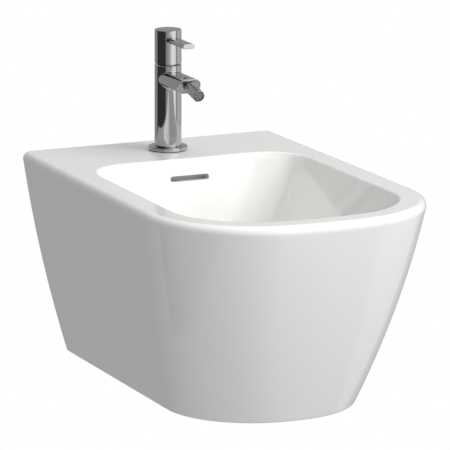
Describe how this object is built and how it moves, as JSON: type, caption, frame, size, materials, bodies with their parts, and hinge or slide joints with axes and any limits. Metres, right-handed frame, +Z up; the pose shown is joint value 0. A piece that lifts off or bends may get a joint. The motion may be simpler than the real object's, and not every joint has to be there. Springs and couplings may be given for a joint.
{
  "type": "wall-hung bidet",
  "caption": "Wall-hung ceramic bidet with a rear deck, single-lever tap with a ball-jointed spray nozzle, overflow slot and push-plug waste.",
  "frame": {"origin": "midway between the two wall-fixing holes, on the wall plane", "axes": "+Z up, +Y into the wall along the fixing studs, +X to the right for a person who faces the front of the bidet"},
  "size_m": [0.3572, 0.5374, 0.4165],
  "materials": {
    "glazed_ceramic": "gloss",
    "chrome": "polished",
    "brass": "machined",
    "steel": "plain",
    "rubber": "matt",
    "white_plastic": "satin",
    "black_plastic": "satin",
    "technical_ceramic": "polished"
  },
  "bodies": {
    "fixture": {"ceramic_body": "glazed_ceramic", "wall_sleeves": "white_plastic", "wall_washers": "steel", "wall_nuts": "steel", "base_gasket": "rubber", "base_ring": "chrome", "tap_body": "chrome", "tap_stud": "steel", "clamp_rubber": "rubber", "clamp_washer": "steel", "clamp_nut": "steel", "cartridge_gasket": "rubber", "cartridge_housing": "black_plastic", "ring_nut": "chrome", "fixed_disc": "technical_ceramic", "nozzle_seal": "rubber", "nozzle_collar": "chrome", "flange_gasket": "rubber", "waste_body": "chrome", "cone_gasket": "rubber", "slip_ring": "white_plastic", "back_nut": "brass", "tail_seal": "rubber", "tailpiece": "chrome", "plug_guide": "white_plastic", "plug_spring": "steel"},
    "cartridge": {"cartridge_rotor": "black_plastic", "pivot_pin": "steel"},
    "handle": {"handle": "chrome", "lever_stem": "steel", "grub_screw": "steel"},
    "disc": {"moving_disc": "technical_ceramic"},
    "swivel": {"nozzle_swivel": "chrome"},
    "nozzle": {"nozzle": "chrome", "spray_insert": "black_plastic"},
    "plug": {"plug": "chrome", "plug_seal": "rubber", "plug_stem": "steel", "stem_clip": "steel"}
  },
  "joints": [
    {"name": "handle_turn", "type": "hinge", "parent": "fixture", "child": "cartridge", "pos_m": [0, -0.06, 0.183], "axis": [0, 0, 1], "range_deg": [-45, 45]},
    {"name": "handle_lift", "type": "hinge", "parent": "cartridge", "child": "handle", "pos_m": [0, -0.06, 0.183], "axis": [-1, 0, 0], "range_deg": [0, 12]},
    {"name": "disc_slide", "type": "slide", "parent": "cartridge", "child": "disc", "axis": [0, -1, 0], "range_m": [0, 0.00265]},
    {"name": "nozzle_swing", "type": "hinge", "parent": "fixture", "child": "swivel", "pos_m": [0, -0.12209, 0.16233], "axis": [0, -0.9703, -0.2419], "continuous": true},
    {"name": "nozzle_tilt", "type": "hinge", "parent": "swivel", "child": "nozzle", "pos_m": [0, -0.12209, 0.16233], "axis": [1, 0, 0], "range_deg": [-20, 20]},
    {"name": "plug_push", "type": "slide", "parent": "fixture", "child": "plug", "axis": [0, 0, -1], "range_m": [0, 0.008], "stiffness_N_per_m": 400, "springref_m": -0.012, "deforming": ["plug_spring"]}
  ],
  "couplings": [
    {"joint": "disc_slide", "follows": "handle_lift", "m_per_rad": 0.0126}
  ]
}
